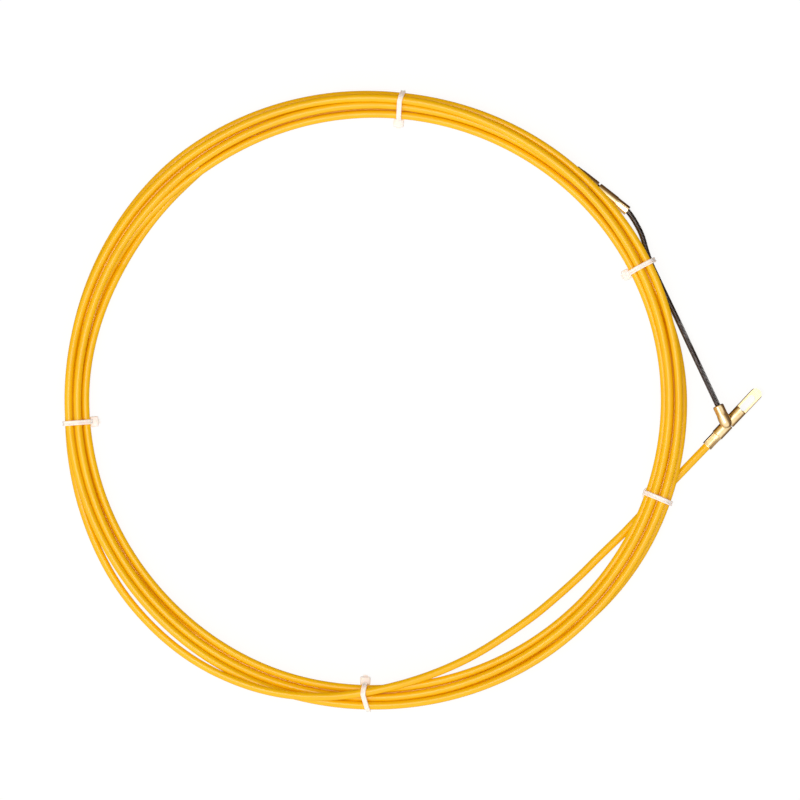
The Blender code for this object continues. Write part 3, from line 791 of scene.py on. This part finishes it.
def make_tie(name, angle, aside_inner, aside_middle, aside_outer, material):
    """A strap round everything at its angle, which runs a little aside as given, with its head."""
    outline = wrap(held_circles(angle))
    low = min(p[0] for p in outline)
    high = max(p[0] for p in outline)
    middle, half = (low + high) / 2, (high - low) / 2

    def aside(u):
        v = (u - middle) / half
        lean = (aside_outer - aside_inner) / 2
        bow = (aside_outer + aside_inner) / 2 - aside_middle
        return (aside_middle + lean * v + bow * v * v) * MM

    w, t = STRAP_HALF, STRAP_THICKNESS
    section = [(-w, 0.12 * MM), (-w, t - 0.28 * MM), (-w + 0.12 * MM, t - 0.1 * MM), (-w + 0.3 * MM, t),
               (-w + 0.55 * MM, t - 0.02 * MM), (-w + 0.75 * MM, t - 0.16 * MM),
               (w - 0.75 * MM, t - 0.16 * MM), (w - 0.55 * MM, t - 0.02 * MM), (w - 0.3 * MM, t),
               (w - 0.12 * MM, t - 0.1 * MM), (w, t - 0.28 * MM), (w, 0.12 * MM), (w - 0.12 * MM, 0),
               (-w + 0.12 * MM, 0)]
    rings = []
    for x, z, out, up in outline:
        rings.append([Vector((x + lift * out, across + aside(x), max(z + lift * up, TABLE_CLEARANCE)))
                      for across, lift in section])
    strap = link(name + "_detail", mesh_of(skin(rings, looped=True), name, sharp=40), material)
    head = make_head(name, low, aside(low), name == "tie_lower_right", material)
    combine(strap, head, "UNION")
    settled(strap, [head], sharp=35)
    strap.matrix_world = Matrix.Translation(COIL_CENTRE) @ Matrix.Rotation(-math.radians(angle), 4, "Z")
    return strap


def make_head(name, inner, side, hidden, material):
    """The ratchet head, with the strap's cut end in its mouth."""
    x, z = inner - HEAD_SIZE.x / 2 + 0.15 * MM, HEAD_HEIGHT
    if hidden:  # under the coil, on the table
        x, z = HIDDEN_HEAD_RADIUS, HEAD_SIZE.z / 2 + 0.05 * MM
    head = box(name + "_head", HEAD_SIZE, (x, side, z), material)
    bevel(head, 0.7 * MM, segments=4)
    helpers = []
    if not hidden:
        face = x - HEAD_SIZE.x / 2
        for size, spot, operation in ((MOUTH_SIZE, face, "DIFFERENCE"),
                                      (CUT_END_SIZE, face + CUT_END_OFFSET, "UNION")):
            helpers.append(box("tie_cut", size, (spot, side, z), material))
            combine(head, helpers[-1], operation)
    return settled(head, helpers, sharp=35)


for tie_name, placing in TIES.items():
    tie = make_tie(tie_name, *placing, TIE_NYLON)
    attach(tie, "coil")
    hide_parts(tie_name)

# ---------------------------------------------------------------- stage and light

FLOOR_HALF = 3.0
FLOOR_DROP = 0.02 * MM
LIGHT_SIZE = 0.75
LIGHT_POWER = 5.0
LIGHT_SPOT = Vector((-0.24, -0.10, 1.2))
LIGHT_TARGET = Vector((-0.02, 0.0, 0))
WORLD_STRENGTH = 1.08
WHITE = (1.0, 1.0, 1.0)


def make_floor():
    bm = bmesh.new()
    bmesh.ops.create_grid(bm, x_segments=2, y_segments=2, size=FLOOR_HALF)
    mesh = bpy.data.meshes.new("floor")
    bm.to_mesh(mesh)
    bm.free()
    floor = link("floor", mesh, floor_white())
    floor.location = (0, 0, -FLOOR_DROP)
    floor.visible_glossy = False


def make_light():
    """One broad light overhead, a little to the left."""
    data = bpy.data.lights.new("overhead", "AREA")
    data.shape = "RECTANGLE"
    data.size = data.size_y = LIGHT_SIZE
    data.energy = LIGHT_POWER
    light = bpy.data.objects.new("overhead", data)
    light.location = LIGHT_SPOT
    light.rotation_mode = "QUATERNION"
    light.rotation_quaternion = (LIGHT_TARGET - LIGHT_SPOT).to_track_quat("-Z", "Y")
    bpy.context.scene.collection.objects.link(light)


def make_world():
    """A plain studio: pale above, darker low down and to the right, golden low down at the back."""
    world = bpy.data.worlds.new("studio")
    world.use_nodes = True
    tree = world.node_tree
    where = tree.nodes.new("ShaderNodeTexCoord")

    def shades(direction, stops):
        """Colours from the side opposite to the direction, at 0, to the direction's own side, at 1."""
        dot = tree.nodes.new("ShaderNodeVectorMath")
        dot.operation = "DOT_PRODUCT"
        tree.links.new(where.outputs["Generated"], dot.inputs[0])
        dot.inputs[1].default_value = direction
        scaled = tree.nodes.new("ShaderNodeMapRange")
        scaled.inputs["From Min"].default_value = -1.0
        tree.links.new(dot.outputs["Value"], scaled.inputs["Value"])
        node = tree.nodes.new("ShaderNodeValToRGB")
        tree.links.new(scaled.outputs["Result"], node.inputs["Fac"])
        fill_ramp(node, stops)
        return node.outputs["Color"]

    colour = shades((0, 0, 1), [(0.0, (0.58, 0.52, 0.46)), (0.50, (0.62, 0.56, 0.50)),
                                (0.56, (0.76, 0.72, 0.68)), (0.66, WHITE), (1.0, WHITE)])
    right = shades((-0.6, -0.6, 0.53), [(0.0, (0.20, 0.15, 0.11)), (0.34, (0.22, 0.165, 0.12)),
                                        (0.43, (0.38, 0.30, 0.22)), (0.50, (0.80, 0.72, 0.62)),
                                        (0.57, (1.0, 0.98, 0.94)), (1.0, (1.0, 0.98, 0.95))])
    back = shades((0.45, -0.8, 0.4), [(0.0, (0.36, 0.25, 0.12)), (0.14, (0.40, 0.29, 0.15)),
                                      (0.28, (0.72, 0.60, 0.40)), (0.46, (0.90, 0.82, 0.68)),
                                      (0.60, WHITE), (1.0, WHITE)])
    for other in (right, back):
        both = tree.nodes.new("ShaderNodeVectorMath")
        both.operation = "MULTIPLY"
        tree.links.new(colour, both.inputs[0])
        tree.links.new(other, both.inputs[1])
        colour = both.outputs["Vector"]
    tree.links.new(colour, tree.nodes["Background"].inputs["Color"])
    tree.nodes["Background"].inputs["Strength"].default_value = WORLD_STRENGTH
    bpy.context.scene.world = world


make_floor()
make_world()
make_light()
bpy.context.scene.view_settings.view_transform = "Standard"
